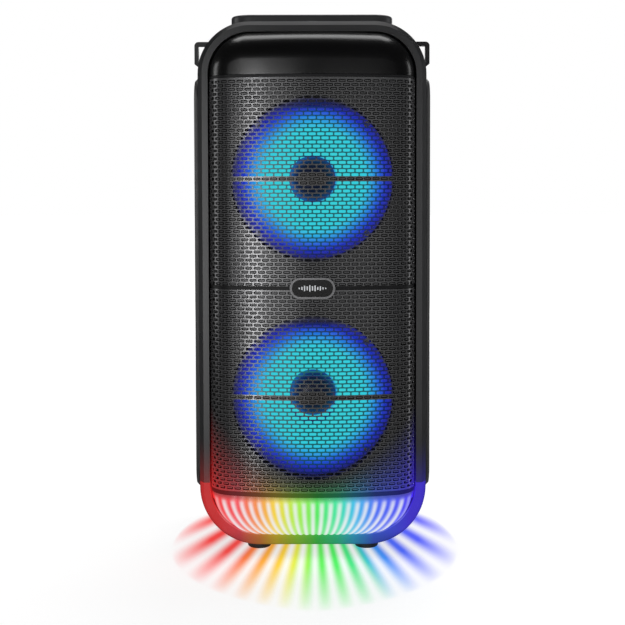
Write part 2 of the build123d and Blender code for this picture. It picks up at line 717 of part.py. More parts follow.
def usb_socket():
    """Flat USB socket with its inner tongue left out, open to the back."""
    x = SOCKET_X["usb"]
    body = block(x - 7.9, x + 7.9, 86, 107.6, SOCKET_Z - 4.4, SOCKET_Z + 4.4)
    return body - block(x - 6.6, x + 6.6, 89, 110, SOCKET_Z - 2.9, SOCKET_Z + 2.9)


def power_rocker():
    """Rocker of the mains switch on its two pivot pins, tipped to its off side."""
    x = SOCKET_X["rocker"]
    body = block(x - 4.8, x + 4.8, 102.6, 108.8, SOCKET_Z - 7.6, SOCKET_Z + 7.6)
    dish = Pos(x, 126.0, SOCKET_Z) * Rot(0, 90, 0) * Cylinder(18.4, 20)
    tip = Pos(0, ROCKER_AXIS_Y, SOCKET_Z) * Rot(7, 0, 0) * Pos(0, -ROCKER_AXIS_Y, -SOCKET_Z)
    pins = rod_x(ROCKER_PIN_RADIUS, ROCKER_AXIS_Y, SOCKET_Z, x - 6.5, x + 6.5)
    return tip * (body - dish) + pins


def bass_port(z):
    """Flared port tube, pushed in from the back."""
    back = CABINET_BACK_Y + PORT_FLANGE
    tube = rod_y(PORT_RADIUS + PORT_WALL, 0, z, back - PORT_LENGTH, CABINET_BACK_Y)
    flange = rod_y(36, 0, z, CABINET_BACK_Y, back)
    body = tube + flange - rod_y(PORT_RADIUS, 0, z, back - PORT_LENGTH - 1, back + 1)
    mouth = [e for e in body.edges() if abs(e.center().Y - back) < 0.01 and e.length < 2 * math.pi * 30]
    body = fillet(mouth, 2.0)
    for angle in range(45, 360, 90):
        x, dz = 31 * math.cos(math.radians(angle)), 31 * math.sin(math.radians(angle))
        body = body - rod_y(SCREW_RADIUS + CLEARANCE, x, z + dz, CABINET_BACK_Y - 1, back + 1)
    return body


def rear_screws():
    """Screws of the socket plate and of both port flanges."""
    solids = [screw_y(x, z, REAR_FLOOR_Y[1], 8, -1) for x, z in rear_panel_screw_places()]
    for z in PORT_Z.values():
        for angle in range(45, 360, 90):
            x, dz = 31 * math.cos(math.radians(angle)), 31 * math.sin(math.radians(angle))
            solids.append(screw_y(x, z + dz, CABINET_BACK_Y + PORT_FLANGE, 9, -1))
    return Compound(children=solids)


# ---------------------------------------------------------------- inside
def battery_pack():
    """Shrink-wrapped pack on the floor of the cabinet."""
    body = block(-66, 66, 28, 84, 22, 62)
    return fillet(body.edges().filter_by(Axis.X), 6)


def amplifier_board():
    """Amplifier board with its heatsink and capacitors, on posts from the back wall."""
    board = block(-55, 55, 98.0, 99.6, 345, 415)
    heatsink = block(-30, 30, 78, 98.0, 390, 410)
    for step in range(6):
        x = -25 + 10 * step
        heatsink = heatsink - block(x - 2.5, x + 2.5, 77, 92, 389, 411)
    caps = [rod_y(6, x, 362, 76, 98.0) for x in (-36, -20, 20, 36)]
    return Compound(children=[board, heatsink, *caps])


def baffle_screws():
    """Ten screws that hold the baffle's flange to the cabinet."""
    return Compound(children=[screw_y(x, z, CABINET_FRONT_Y, 16) for x, z in flange_screw_places()])


# ---------------------------------------------------------------- nodes
def all_nodes():
    """Every node's name with its shape."""
    ring = ring_solid()
    nodes = {
        "rear_cabinet": rear_cabinet(),
        "front_baffle": front_baffle(),
        "front_frame": between(ring, RING_SPLIT_Z + SEAM_GAP / 2, 700),
        "lower_frame": between(ring, 0, RING_SPLIT_Z - SEAM_GAP / 2),
        "top_visor": top_visor(),
        "trim_strip_top": trim_strip(TRIM_TOP_Z),
        "trim_strip_middle": trim_strip(TRIM_MIDDLE_Z) - badge_shape(*BADGE_CUT, -125, -100),
        "trim_strip_bottom": trim_strip(TRIM_BOTTOM_Z),
        "badge_bezel": badge_bezel(),
        "badge_plate": badge_plate(),
        "light_lens": light_lens(),
        "light_reflector": light_reflector(),
        "light_board": light_board(),
        "light_leds": light_leds(),
        "handle_grip": handle_grip(),
        "handle_tray": handle_tray(),
        "control_panel": control_panel(),
        "control_board": control_board(),
        "volume_knob": volume_knob(),
        "rear_panel": rear_panel(),
        "mic_jack": round_jack(SOCKET_X["mic"], MIC_BORE, 5.0, 20),
        "aux_jack": round_jack(SOCKET_X["aux"], AUX_BORE, 3.5, 15),
        "usb_socket": usb_socket(),
        "charging_socket": charging_socket(),
        "power_rocker": power_rocker(),
        "battery_pack": battery_pack(),
        "amplifier_board": amplifier_board(),
        "feet": feet(),
        "driver_screws": driver_screws(),
        "baffle_screws": baffle_screws(),
        "rail_screws": rail_screws(),
        "rear_screws": rear_screws(),
    }
    for label, side in (("left", -1), ("right", 1)):
        nodes[f"side_rail_{label}"] = side_rail(side)
        nodes[f"strap_loop_{label}"] = strap_loop(side)
    for name, z in DRIVER_Z.items():
        nodes[f"grille_mesh_{name}"] = grille_mesh(name)
        nodes[f"grille_carrier_{name}"] = grille_carrier(name)
        nodes[f"driver_{name}_basket"] = driver_basket(z)
        nodes[f"driver_{name}_magnet"] = driver_magnet(z)
        nodes[f"driver_{name}_surround"] = driver_surround(z)
        nodes[f"driver_{name}_light_ring"] = driver_light_ring(z)
        nodes[f"driver_{name}_cone"] = driver_cone(z)
        nodes[f"driver_{name}_cap"] = driver_cap(z)
        nodes[f"bass_port_{name}"] = bass_port(PORT_Z[name])
    for name, x in BUTTON_X.items():
        nodes[f"button_{name}"] = push_button(x)
    return nodes


os.makedirs("parts", exist_ok=True)
for node_name, shape in all_nodes().items():
    export_step(shape, f"parts/{node_name}.step")
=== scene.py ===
import bmesh
import bpy
import math
import numpy as np
from mathutils import Matrix, Vector


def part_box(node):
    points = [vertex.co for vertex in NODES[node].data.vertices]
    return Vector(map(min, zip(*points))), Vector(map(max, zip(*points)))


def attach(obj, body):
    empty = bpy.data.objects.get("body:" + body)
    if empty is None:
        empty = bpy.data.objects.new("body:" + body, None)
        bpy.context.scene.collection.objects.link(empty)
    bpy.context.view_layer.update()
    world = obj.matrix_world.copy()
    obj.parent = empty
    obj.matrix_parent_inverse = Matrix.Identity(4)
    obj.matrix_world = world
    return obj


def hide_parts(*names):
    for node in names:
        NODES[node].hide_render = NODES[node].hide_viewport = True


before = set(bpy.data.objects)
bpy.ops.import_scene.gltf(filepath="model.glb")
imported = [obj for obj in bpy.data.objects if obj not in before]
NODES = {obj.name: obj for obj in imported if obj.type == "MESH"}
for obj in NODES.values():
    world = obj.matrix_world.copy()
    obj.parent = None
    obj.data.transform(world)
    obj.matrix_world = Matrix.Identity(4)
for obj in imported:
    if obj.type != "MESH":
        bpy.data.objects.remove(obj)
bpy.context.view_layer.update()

MM = 0.001
SCENE = bpy.context.scene

# The slots of the grille: their pitch along a row and from row to row, half a slot's width and height,
# the share of that height left at a slot's corner, and the sheet's thickness.
SLOT_PITCH = 8.8 * MM
ROW_PITCH = 4.176 * MM
SLOT_HALF = 3.75 * MM
SLOT_RISE = 1.48 * MM
CORNER_CUT = 0.84
SKIN = 1.1 * MM

# The fluted lens: how many flutes, how deep they are, and its wall.
FLUTES = 23
FLUTE_DEPTH = 0.9 * MM
LENS_WALL = 1.6 * MM

# How far a printed symbol sinks into what it is printed on.
PRINT_BITE = 0.02 * MM

# The drivers' light: where the grille's window ends, how far out the colours run, and how far aside of
# the driver's middle the glow sits.
WINDOW_RIM = (78 * MM, 86 * MM)
LIT_RADIUS = 90 * MM
GLOW_SHIFT = 2 * MM

# How far up the front the base light's glow starts and ends, on the grille and on the frame ring.
GRILLE_GLOW = (66 * MM, 172 * MM)
FRAME_GLOW = (78 * MM, 130 * MM)

# The beams on the floor: where they fan out from behind the speaker, how far they reach,
# and how fast they follow one another as the angle grows.
BEAM_ROOT_Y = 296 * MM
BEAM_REACH = 540 * MM
BEAM_RATE = 40.07


# ------------------------------------------------------------------ the crowned front
# A block with rounded corners, faced by a big cylinder and rolled over by a ball at its edge.
CROWN_RADIUS = 330 * MM
EDGE_BALL = 30 * MM
CORNER_BOTTOM = 51 * MM
VISOR_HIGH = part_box("top_visor")[1]
SHELL_HALF = VISOR_HIGH.x
SHELL_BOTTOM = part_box("light_lens")[0].z
CROWN_AXIS_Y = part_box("grille_mesh_upper")[0].y + CROWN_RADIUS
SHELL_BACK = VISOR_HIGH.y
MEET_ANGLE = math.asin((SHELL_HALF - EDGE_BALL) / (CROWN_RADIUS - EDGE_BALL))


def node_middle(name):
    """The middle of a node's box."""
    low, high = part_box(name)
    return (low + high) / 2


DRIVERS = {name: node_middle(f"driver_{name}_basket").z for name in ("upper", "lower")}


def crown_point(run, inset=0.0):
    """Plan place (x, y) on the crowned front at a distance run along it from its middle."""
    crown, ball = CROWN_RADIUS - inset, EDGE_BALL - inset
    side, run = math.copysign(1, run), abs(run)
    edge_x = SHELL_HALF - EDGE_BALL
    edge_y = CROWN_AXIS_Y - (CROWN_RADIUS - EDGE_BALL) * math.cos(MEET_ANGLE)
    arc = crown * MEET_ANGLE
    corner = ball * (math.pi / 2 - MEET_ANGLE)
    if run <= arc:
        angle = run / crown
        return side * crown * math.sin(angle), CROWN_AXIS_Y - crown * math.cos(angle)
    if run <= arc + corner:
        angle = MEET_ANGLE + (run - arc) / ball
        return side * (edge_x + ball * math.sin(angle)), edge_y - ball * math.cos(angle)
    return side * (edge_x + ball), edge_y + run - arc - corner


def ball_track(count=40):
    """Places of the edge ball's centre round the base of the front, as (x, z)."""
    half = SHELL_HALF - EDGE_BALL
    radius = CORNER_BOTTOM - EDGE_BALL
    low = SHELL_BOTTOM + EDGE_BALL
    track = [(half, low + radius + 60 * MM * (1 - step / count)) for step in range(count)]
    for step in range(count + 1):
        angle = step / count * math.pi / 2
        track.append((half - radius + radius * math.cos(angle), low + radius - radius * math.sin(angle)))
    flat = half - radius
    track += [(flat * (1 - 2 * step / (4 * count)), low) for step in range(4 * count + 1)]
    mirrored = [(-x, z) for x, z in reversed(track)]
    return np.array(track + mirrored)


def crown_depth(x, z, track):
    """Front-most y of the crowned front's base at the place (x, z) in front view."""
    half = SHELL_HALF - EDGE_BALL
    inner = CROWN_RADIUS - EDGE_BALL
    gap = EDGE_BALL ** 2 - (x - track[:, 0]) ** 2 - (z - track[:, 1]) ** 2
    centres = CROWN_AXIS_Y - np.sqrt(inner ** 2 - track[:, 0] ** 2)
    depths = np.where(gap > 0, centres - np.sqrt(np.maximum(gap, 0)), SHELL_BACK)
    best = float(depths.min())
    foot_x = x * inner / CROWN_RADIUS
    if abs(foot_x) <= half and z >= SHELL_BOTTOM + EDGE_BALL and inside_track(foot_x, z):
        best = min(best, CROWN_AXIS_Y - math.sqrt(CROWN_RADIUS ** 2 - x ** 2))
    return best


def inside_track(x, z):
    """Whether a place lies within the ball's track round the base."""
    half = SHELL_HALF - EDGE_BALL
    radius = CORNER_BOTTOM - EDGE_BALL
    low = SHELL_BOTTOM + EDGE_BALL
    over_x, under_z = abs(x) - (half - radius), low + radius - z
    return over_x <= 0 or under_z <= 0 or math.hypot(over_x, under_z) <= radius


# ------------------------------------------------------------------ finishes
class Wire:
    """A value on a material's wiring, which takes ordinary arithmetic."""

    def __init__(self, finish, socket):
        self.finish, self.socket = finish, socket

    def sum_with(self, operation, other, swapped=False):
        values = [other, self] if swapped else [self, other]
        return self.finish.add("ShaderNodeMath", {"operation": operation}, *values)

    def __add__(self, other):
        return self.sum_with("ADD", other)

    def __radd__(self, other):
        return self.sum_with("ADD", other)

    def __sub__(self, other):
        return self.sum_with("SUBTRACT", other)

    def __rsub__(self, other):
        return self.sum_with("SUBTRACT", other, swapped=True)

    def __mul__(self, other):
        return self.sum_with("MULTIPLY", other)

    def __rmul__(self, other):
        return self.sum_with("MULTIPLY", other)

    def __truediv__(self, other):
        return self.sum_with("DIVIDE", other)

    def __pow__(self, other):
        return self.sum_with("POWER", other)

    def at_most(self, other):
        return self.sum_with("MINIMUM", other)

    def at_least(self, other):
        return self.sum_with("MAXIMUM", other)

    def __mod__(self, other):
        return self.sum_with("MODULO", other)

    def floor(self):
        return self.sum_with("FLOOR", 0.0)

    def size(self):
        return self.sum_with("ABSOLUTE", 0.0)

    def sine(self):
        return self.sum_with("SINE", 0.0)

    def arctan(self):
        return self.sum_with("ARCTANGENT", 0.0)

    def step(self, start, end):
        """0 up to start, 1 from end, and a smooth rise between them."""
        settings = {"interpolation_type": "SMOOTHSTEP"}
        names = {"Value": self, "From Min": start, "From Max": end}
        return self.finish.add("ShaderNodeMapRange", settings, **names)


class Finish:
    """A material whose shader is a Principled one, with a method that adds any other node."""

    def __init__(self, name, **constants):
        self.material = bpy.data.materials.new(name)
        self.material.use_nodes = True
        self.tree = self.material.node_tree
        self.shader = self.tree.nodes["Principled BSDF"]
        for socket, value in constants.items():
            self.shader.inputs[socket.replace("_", " ")].default_value = value

    def add(self, kind, settings=None, *values, output=0, **named):
        """Adds a node, makes its settings, fills its sockets, and returns one of its outputs."""
        node = self.tree.nodes.new(kind)
        for key, value in (settings or {}).items():
            if key == "stops":
                self.set_stops(node.color_ramp, value)
            else:
                setattr(node, key, value)
        pairs = [(node.inputs[i], v) for i, v in enumerate(values)]
        pairs += [(node.inputs[key], v) for key, v in named.items()]
        for socket, value in pairs:
            self.fill(socket, value)
        return Wire(self, node.outputs[output])

    def fill(self, socket, value):
        if isinstance(value, Wire):
            self.tree.links.new(value.socket, socket)
        else:
            socket.default_value = value

    def set_stops(self, ramp, stops):
        while len(ramp.elements) > 1:
            ramp.elements.remove(ramp.elements[-1])
        for index, (place, colour) in enumerate(stops):
            stop = ramp.elements[0] if index == 0 else ramp.elements.new(place)
            stop.position = place
            stop.color = (*colour, 1.0)

    def drive(self, **wires):
        """Links what changes over the surface to the shader."""
        for socket, value in wires.items():
            self.fill(self.shader.inputs[socket.replace("_", " ")], value)
        return self

    def glow(self, colour, strength):
        """Makes the surface shine in a colour that changes over it."""
        self.shader.inputs["Emission Strength"].default_value = strength
        return self.drive(Emission_Color=colour)

    def place(self):
        """Object coordinates, as a vector and as x, y and z."""
        vector = self.add("ShaderNodeTexCoord", output=3)
        split = self.add("ShaderNodeSeparateXYZ", None, vector)
        return (vector, *[Wire(self, split.socket.node.outputs[i]) for i in range(3)])

    def cloud(self, vector, scale, detail=3.0, rough=0.5):
        """Soft noise from 0 to 1, with scale features to the metre."""
        sockets = {"Vector": vector, "Scale": scale, "Detail": detail, "Roughness": rough}
        return self.add("ShaderNodeTexNoise", None, **sockets)

    def ramp(self, share, stops):
        """A colour from a ramp of stops."""
        return self.add("ShaderNodeValToRGB", {"stops": stops}, share)

    def mix(self, share, first, second):
        """The first colour at 0 and the second at 1."""
        node = self.add("ShaderNodeMix", {"data_type": "RGBA"}, output=2)
        self.fill(node.socket.node.inputs[0], share)
        self.fill(node.socket.node.inputs[6], as_colour(first))
        self.fill(node.socket.node.inputs[7], as_colour(second))
        return node

    def bump(self, height, distance, strength=0.5):
        sockets = {"Strength": strength, "Distance": distance, "Height": height}
        return self.drive(Normal=self.add("ShaderNodeBump", None, **sockets))


def as_colour(value):
    if isinstance(value, Wire):
        return value
    return (*value, 1.0)


BLACK = (0.0, 0.0, 0.0)

# Colours of the base light from left to right, and of its beams round their fan.
RAINBOW = [
    (0.02, (1.0, 0.02, 0.02)),
    (0.14, (1.0, 0.06, 0.08)),
    (0.24, (1.0, 0.30, 0.03)),
    (0.32, (1.0, 0.72, 0.01)),
    (0.42, (0.42, 0.95, 0.03)),
    (0.52, (0.05, 0.90, 0.08)),
    (0.62, (0.02, 0.85, 0.38)),
    (0.70, (0.02, 0.55, 0.90)),
    (0.80, (0.04, 0.14, 1.0)),
    (0.98, (0.06, 0.02, 1.0)),
]
BEAM_STOPS = [
    (0.02, (1.0, 0.02, 0.02)),
    (0.16, (1.0, 0.06, 0.05)),
    (0.22, (1.0, 0.28, 0.03)),
    (0.30, (1.0, 0.55, 0.02)),
    (0.36, (1.0, 0.80, 0.05)),
    (0.42, (0.60, 0.95, 0.10)),
    (0.47, (0.15, 0.90, 0.10)),
    (0.60, (0.05, 0.90, 0.12)),
    (0.68, (0.05, 0.75, 0.35)),
    (0.72, (0.03, 0.45, 0.90)),
    (0.80, (0.03, 0.12, 1.0)),
    (0.98, (0.05, 0.03, 1.0)),
]

# Colours of the painted glow outwards from a driver's middle, for its cone and for its cap.
CONE_STOPS = [
    (0.24, (0.01, 0.10, 0.62)),
    (0.28, (0.04, 0.72, 0.76)),
    (0.58, (0.03, 0.68, 0.80)),
    (0.67, (0.02, 0.38, 0.84)),
    (0.75, (0.012, 0.12, 0.76)),
    (0.81, (0.006, 0.03, 0.56)),
    (0.87, (0.003, 0.009, 0.34)),
    (0.92, (0.001, 0.003, 0.10)),
    (0.96, (0.0, 0.0, 0.02)),
]
CAP_STOPS = [
    (0.0, (0.002, 0.003, 0.02)),
    (0.18, (0.003, 0.006, 0.06)),
    (0.235, (0.006, 0.03, 0.30)),
    (0.265, (0.02, 0.2, 0.85)),
]


def rainbow(finish, x):
    """The base light's colour across the speaker's width."""
    return finish.ramp(x / (2 * SHELL_HALF) + 0.5, RAINBOW)


def grained_plastic(name, colour, rough=0.5, grain=2200.0, depth=0.00005, strength=0.35):
    """Moulded plastic with a fine spark-eroded grain and a little unevenness."""
    finish = Finish(name, IOR=1.46)
    vector = finish.place()[0]
    cloud = finish.cloud(vector, 26.0)
    fine = finish.cloud(vector, grain, 2.0)
    light = tuple(min(1.0, c * 1.35 + 0.004) for c in colour)
    finish.drive(Base_Color=finish.mix(cloud, colour, light), Roughness=cloud * 0.12 + (rough - 0.06))
    return finish.bump(fine, depth, strength)


def gloss_plastic(name, colour, rough=0.1, coat=0.6):
    """Polished plastic with a faint flow pattern in its gloss."""
    finish = Finish(name, IOR=1.5, Coat_Roughness=0.06, Coat_Weight=coat)
    vector = finish.place()[0]
    cloud = finish.cloud(vector, 14.0)
    light = tuple(c * 1.3 + 0.002 for c in colour)
    finish.drive(Base_Color=finish.mix(cloud, colour, light), Roughness=cloud * 0.08 + rough)
    return finish.bump(finish.cloud(vector, 9.0, 1.0), 0.0002, 0.05)


def worked_metal(name, colour, rough=0.3, grain=900.0):
    """Plated or turned metal with fine working marks."""
    finish = Finish(name, Metallic=1.0)
    vector = finish.place()[0]
    stretched = finish.add("ShaderNodeMapping", None, Vector=vector, Scale=(1.0, 1.0, 12.0))
    marks = finish.cloud(stretched, grain, 2.0)
    light = tuple(min(1.0, c * 1.25) for c in colour)
    finish.drive(Base_Color=finish.mix(marks, colour, light), Roughness=marks * 0.15 + (rough - 0.07))
    return finish.bump(marks, 0.00002, 0.3)


def soft_rubber(name, colour=(0.016, 0.016, 0.017), rough=0.62):
    """Matte rubber with a dusty bloom."""
    finish = Finish(name, IOR=1.5, Sheen_Weight=0.12, Sheen_Roughness=0.6)
    vector = finish.place()[0]
    bloom = finish.cloud(vector, 60.0, 4.0)
    light = tuple(c * 1.6 + 0.004 for c in colour)
    finish.drive(Base_Color=finish.mix(bloom, colour, light), Roughness=bloom * 0.16 + (rough - 0.08))
    return finish.bump(finish.cloud(vector, 1500.0, 2.0), 0.00005, 0.3)


def grille_paint():
    """Metallic graphite paint, with a painted glow of the lamps behind it and of the base light near its
    lower edge, and painted shade on the web over the drivers' windows.
    """
    finish = Finish("graphite_grille_paint")
    vector, x, _, z = finish.place()
    flake = finish.cloud(vector, 2600.0, 2.0, 0.7)
    cloud = finish.cloud(vector, 18.0)
    rises = [(z - middle).size() for middle in DRIVERS.values()]
    rise = rises[0].at_most(rises[1])
    span = (x * x + rise * rise) ** 0.5
    clear_of_hub = span.step(19 * MM, 25 * MM)
    clear_of_bar = rise.step(2.1 * MM, 3.0 * MM)
    # painted shade: inside marks the web over the drivers' windows, clear of the hub and the bar, which is
    # darkened there
    inside = (1.0 - span.step(*WINDOW_RIM)) * clear_of_hub * clear_of_bar
    paint = finish.mix(flake, (0.055, 0.055, 0.057), (0.11, 0.11, 0.113))
    finish.drive(
        Base_Color=finish.mix(inside * 0.8, paint, (0.004, 0.004, 0.005)),
        Metallic=inside * 0.45 + 0.4,
        Roughness=cloud * 0.05 + 0.21,
    )
    # painted glow: the drivers' light spilt onto the web inside the windows, and the base light's colours
    # climbing from the lower edge
    spill = finish.mix(inside * 0.3, BLACK, finish.ramp(span / (98 * MM), CONE_STOPS))
    finish.glow(finish.mix(glow_reach(x, z, *GRILLE_GLOW), spill, rainbow(finish, x)), 0.5)
    return finish.bump(flake, 0.00003, 0.25)


def slot_floor_with_painted_shade(name, z_middle):
    """Grey backing of the grille: a pale lit pad shows in each slot, and the rest is painted shade, which
    rings each pad where the slot's wall would shade it.
    """
    finish = Finish(name, Metallic=0.4, IOR=1.15)
    vector, x, _, z = finish.place()
    bend = x / CROWN_RADIUS
    run = x * (1.0 + bend * bend / 6)
    row = (z - z_middle) / ROW_PITCH + 100.5
    across = run / SLOT_PITCH + 100.0 + (row.floor() % 2.0) * 0.5
    from_x = (across % 1.0 - 0.5) * SLOT_PITCH
    from_z = (row % 1.0 - 0.5) * ROW_PITCH
    over = (from_x.size() - (SLOT_HALF - SLOT_RISE)).at_least(0.0)
    gap = (over * over + from_z * from_z) ** 0.5
    # painted shade: outside each lit pad the backing is near black, as the slot's wall shades it
    lit_pad = 1.0 - gap.step(SLOT_RISE - 1.05 * MM, SLOT_RISE - 0.7 * MM)
    flake = finish.cloud(vector, 2600.0, 2.0, 0.7)
    paint = finish.mix(flake, (0.075, 0.075, 0.077), (0.12, 0.12, 0.124))
    finish.drive(Base_Color=finish.mix(lit_pad, (0.001, 0.001, 0.001), paint), Roughness=flake * 0.1 + 0.3)
    # painted glow of the base light on the pads near the lower edge
    finish.glow(finish.mix(glow_reach(x, z, *GRILLE_GLOW) * lit_pad, BLACK, rainbow(finish, x)), 0.4)
    return finish.bump(flake, 0.00003, 0.25)


def glow_reach(x, z, start, end):
    """How far the base light's glow climbs: less in the middle, more at both sides."""
    side = (x.size() / SHELL_HALF) ** 2.0
    climb = 30 * MM
    height = (z - start) / (side * (end - start - climb) + climb)
    fall = (1.0 - height).at_least(0.0).at_most(1.0)
    return fall * fall


def frame_paint():
    """Satin black of the frame ring, coloured where the base light reaches it."""
    finish = Finish("satin_frame_paint", IOR=1.5, Coat_Weight=0.25, Coat_Roughness=0.22)
    vector, x, _, z = finish.place()
    cloud = finish.cloud(vector, 20.0)
    finish.drive(
        Base_Color=finish.mix(cloud, (0.019, 0.0195, 0.021), (0.028, 0.0285, 0.03)),
        Roughness=cloud * 0.08 + 0.25,
    )
    finish.glow(finish.mix(glow_reach(x, z, *FRAME_GLOW), BLACK, rainbow(finish, x)), 0.16)
    return finish.bump(finish.cloud(vector, 1900.0, 2.0), 0.00003, 0.2)


def lower_frame_paint():
    """Smoked translucent plastic that glows in the base light's colours."""
    finish = Finish("smoked_glowing_frame", IOR=1.4, Coat_Weight=0.15, Coat_Roughness=0.12)
    vector, x, y, z = finish.place()
    cloud = finish.cloud(vector, 24.0)
    finish.drive(
        Base_Color=finish.mix(cloud, (0.012, 0.012, 0.013), (0.02, 0.02, 0.022)),
        Roughness=cloud * 0.08 + 0.22,
    )
    front = 1.0 - y.step(-80 * MM, -66 * MM)
    light = (front * 0.75 + 0.25) * (z.step(20 * MM, 34 * MM) * 0.35 + 0.65)
    colour = finish.mix(0.02, rainbow(finish, x), (0.9, 0.95, 1.0))
    finish.glow(finish.mix(light * (cloud * 0.3 + 0.7), BLACK, colour), 0.62)
    return finish.bump(cloud, 0.0001, 0.1)


def trim_paint(name, glow):
    """Black trim strip between the panels of the front, with a painted glow in the base light's colours as
    strong as glow.
    """
    finish = Finish(name, IOR=1.25)
    vector, x, _, _ = finish.place()
    cloud = finish.cloud(vector, 30.0)
    finish.drive(
        Base_Color=finish.mix(cloud, (0.008, 0.008, 0.009), (0.014, 0.014, 0.015)),
        Roughness=cloud * 0.08 + 0.42,
    )
    # painted glow of the base light; none on the plain trim
    return finish.glow(rainbow(finish, x), glow)


def lens_glow():
    """Fluted lens: deep colour in the valleys and pale light on the crests, and painted shade just under
    the trim strip.
    """
    finish = Finish("fluted_light_lens", IOR=1.45, Coat_Weight=0.1, Coat_Roughness=0.2, Roughness=0.4)
    vector, x, _, z = finish.place()
    crest = finish.add("ShaderNodeAttribute", {"attribute_name": "crest"}, output=2)
    haze = finish.cloud(vector, 45.0)
    low = 1.0 - z.step(32 * MM, 60 * MM)
    pale = (crest ** 2.6) * (haze * 0.3 + 0.62) + low * 0.16
    lit = finish.mix(pale.at_most(0.85), rainbow(finish, x), (0.95, 0.97, 1.0))
    # painted shade: the lens's glow darkens just under the trim strip
    shade_under_trim = z.step(68 * MM, 75 * MM)
    finish.drive(Base_Color=finish.mix(haze, (0.05, 0.05, 0.055), (0.09, 0.09, 0.095)))
    return finish.glow(finish.mix(shade_under_trim * 0.6, lit, (0.01, 0.01, 0.01)), 0.85)


def driver_glow(name, z_middle, stops, strength, base, rough):
    """Driver part with a painted glow of the driver's light, whose colour goes by distance from the
    driver's axis, and painted shade at its top.
    """
    finish = Finish(name, IOR=1.45, Roughness=rough)
    vector, x, _, z = finish.place()
    rise = z - z_middle
    aside = x - GLOW_SHIFT
    radius = (aside * aside + rise * rise) ** 0.5
    fibre = finish.cloud(vector, 420.0, 4.0)
    # painted shade over the top of the driver, with a little random unevenness from the fibre
    shade = fibre * 0.2 + rise.step(69 * MM, 79 * MM) * 0.9
    finish.drive(Base_Color=finish.mix(fibre, base, tuple(c * 2 for c in base)))
    colour = finish.ramp(radius / LIT_RADIUS, stops)
    finish.glow(finish.mix(shade.at_most(0.97), colour, (0.0, 0.0, 0.005)), strength)
    return finish.bump(fibre, 0.0001, 0.3)


# ------------------------------------------------------------------ modelling helpers
def start_fresh():
    """Leaves nothing selected, so that the next step acts on its own piece only."""
    if bpy.context.object and bpy.context.object.mode != "OBJECT":
        bpy.ops.object.mode_set(mode="OBJECT")
    bpy.ops.object.select_all(action="DESELECT")


def edit_mesh(piece):
    bpy.context.view_layer.objects.active = piece
    piece.select_set(True)
    bpy.ops.object.mode_set(mode="EDIT")
    return bmesh.from_edit_mesh(piece.data)


def pick(piece, kind, test):
    """In edit mode, selects just the verts or faces whose middle passes the test."""
    bpy.ops.mesh.select_all(action="DESELECT")
    bpy.ops.mesh.select_mode(type={"verts": "VERT", "faces": "FACE"}[kind])
    shape = bmesh.from_edit_mesh(piece.data)
    for part in getattr(shape, kind):
        middle = part.co if kind == "verts" else part.calc_center_median()
        if test(middle):
            part.select_set(True)
    shape.select_flush_mode()
    bmesh.update_edit_mesh(piece.data)


def apply_all(piece):
    """Applies the piece's modifiers in order."""
    start_fresh()
    bpy.context.view_layer.objects.active = piece
    piece.select_set(True)
    for modifier in list(piece.modifiers):
        bpy.ops.object.modifier_apply(modifier=modifier.name)


def finish_piece(piece, name, finish, body="cabinet", smooth=35):
    """Names the piece, settles its place into its mesh, and gives it its finish and its body."""
    start_fresh()
    bpy.context.view_layer.objects.active = piece
    piece.select_set(True)
    bpy.ops.object.transform_apply(location=True, rotation=True, scale=True)
    piece.name = piece.data.name = name
    piece.data.materials.clear()
    piece.data.materials.append(finish.material)
    if smooth:
        bpy.ops.object.shade_smooth_by_angle(angle=math.radians(smooth))
    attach(piece, body)
    return piece


def join(pieces):
    """Joins pieces into the first one."""
    start_fresh()
    for piece in pieces:
        piece.select_set(True)
    bpy.context.view_layer.objects.active = pieces[0]
    if len(pieces) > 1:
        bpy.ops.object.join()
    return pieces[0]


def tidy_normals(piece):
    """Closes doubled points and turns every face outwards."""
    start_fresh()
    edit_mesh(piece)
    bpy.ops.mesh.select_all(action="SELECT")
    bpy.ops.mesh.remove_doubles(threshold=0.00001)
    bpy.ops.mesh.normals_make_consistent(inside=False)
    bpy.ops.object.mode_set(mode="OBJECT")


# ------------------------------------------------------------------ slotted grille
def slot_cell():
    """One slot with the web round it: a plane subdivided, inset, opened and rounded."""
    start_fresh()
    bpy.ops.mesh.primitive_grid_add(x_subdivisions=4, y_subdivisions=2, size=1.0)
    cell = bpy.context.object
    cell.scale = (SLOT_PITCH, ROW_PITCH, 1.0)
    bpy.ops.object.transform_apply(scale=True)
    edit_mesh(cell)
    bpy.ops.mesh.select_all(action="SELECT")
    web = ROW_PITCH / 2 - SLOT_RISE
    bpy.ops.mesh.inset(thickness=web, use_even_offset=True)
    bpy.ops.mesh.delete(type="FACE")
    rim_x = SLOT_PITCH / 2 - web

    def at_corner(p):
        return abs(abs(p.x) - rim_x) < 1e-5 and abs(abs(p.y) - SLOT_RISE) < 1e-5

    def at_end(p):
        return abs(abs(p.x) - rim_x) < 1e-5 and abs(p.y) < 1e-5

    pick(cell, "verts", at_corner)
    corner_x = (SLOT_HALF - SLOT_RISE * (1 - CORNER_CUT)) / rim_x
    bpy.ops.transform.resize(value=(corner_x, CORNER_CUT, 1.0), center_override=(0, 0, 0))
    pick(cell, "verts", at_end)
    bpy.ops.transform.resize(value=(SLOT_HALF / rim_x, 1.0, 1.0), center_override=(0, 0, 0))
    bpy.ops.object.mode_set(mode="OBJECT")
    return cell


def repeat(piece, count, step, name):
    """Repeats the piece along a step and merges the copies."""
    array = piece.modifiers.new(name, "ARRAY")
    array.use_relative_offset = False
    array.use_constant_offset = True
    array.constant_offset_displace = step
    array.count = count
    array.use_merge_vertices = True
    array.merge_threshold = 0.00002


